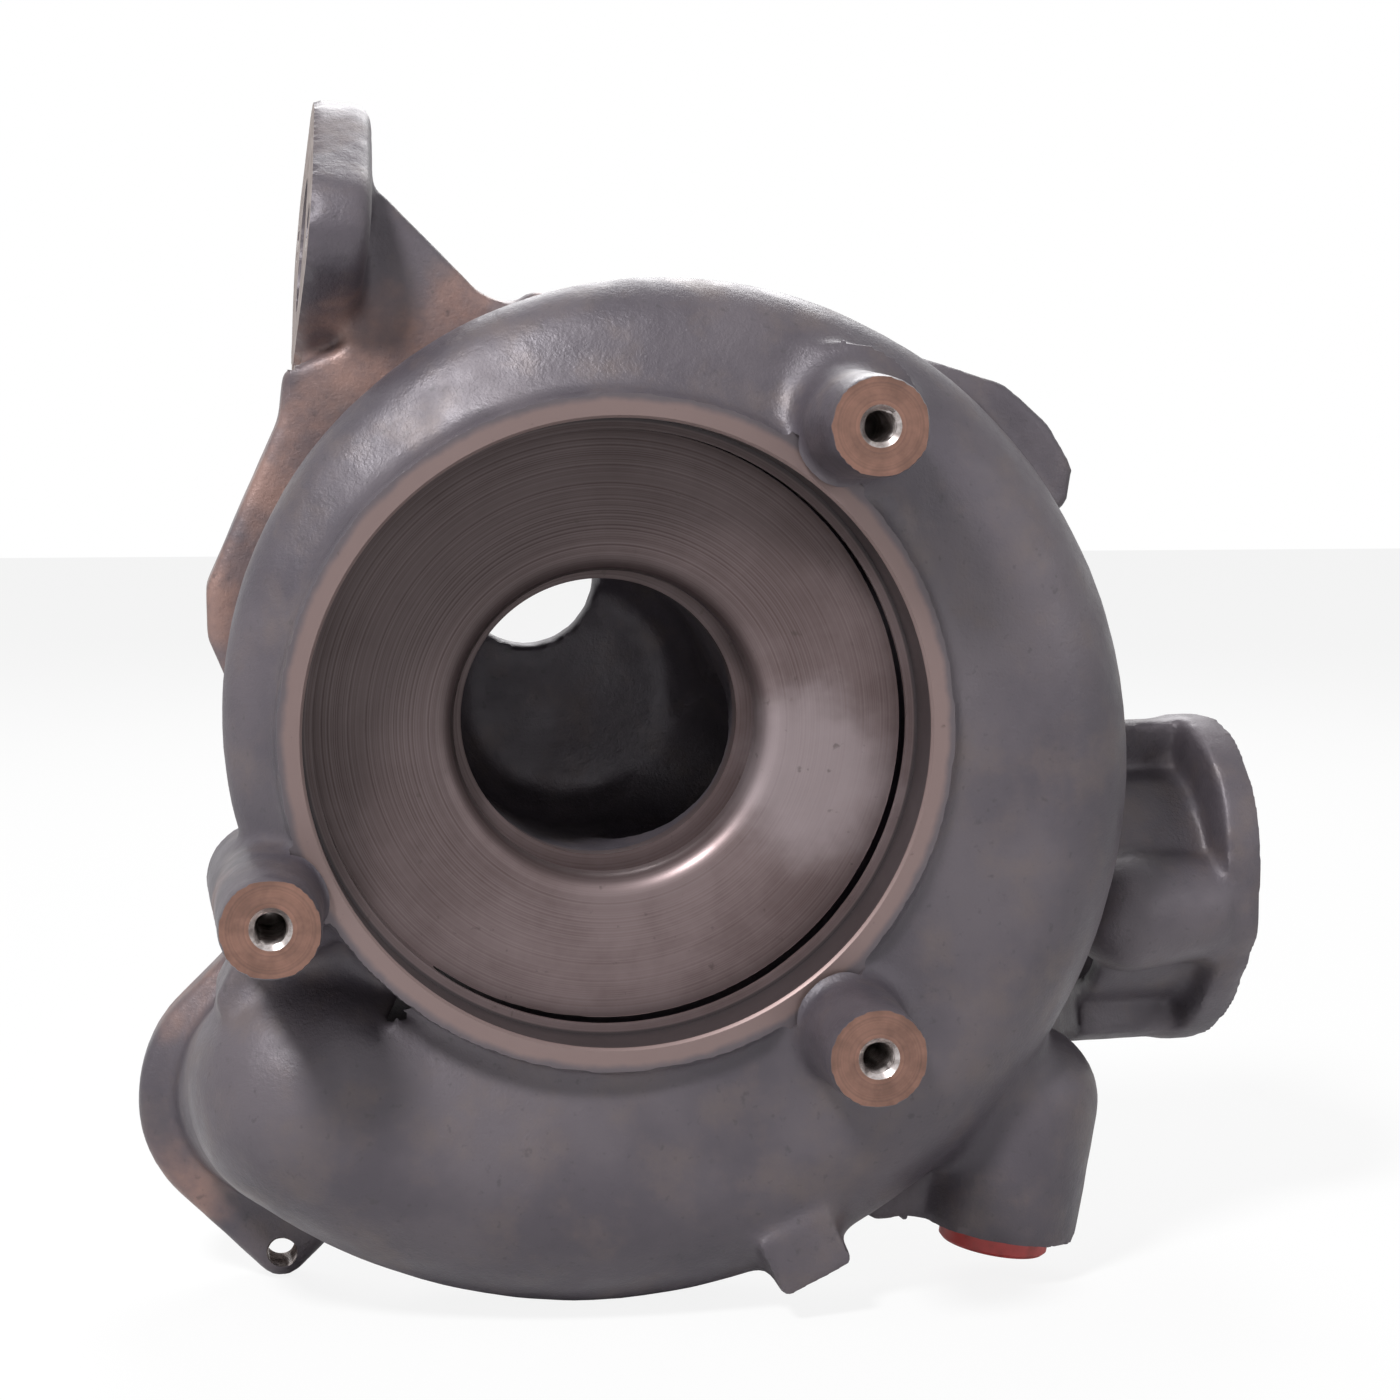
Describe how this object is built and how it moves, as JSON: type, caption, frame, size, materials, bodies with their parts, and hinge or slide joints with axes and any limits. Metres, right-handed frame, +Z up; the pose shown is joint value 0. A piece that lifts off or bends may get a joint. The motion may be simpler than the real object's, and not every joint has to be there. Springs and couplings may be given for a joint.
{
  "type": "volute pump casing",
  "caption": "Cast volute casing of a centrifugal coolant pump, with suction branch, discharge elbow, bolting flanges, tapped bosses and a plugged port.",
  "frame": {"origin": "on the pump axis, in the machined front rim of the pump bore", "axes": "-Y along the pump axis out of the open front, +Z up, +X to the suction branch"},
  "size_m": [0.2713, 0.147, 0.2803],
  "materials": {
    "iron": "sand cast, machined on the rim, bore and bosses",
    "plug": "moulded"
  },
  "bodies": {
    "root": {"volute_casing": "iron", "port_plug": "plug"}
  },
  "joints": []
}
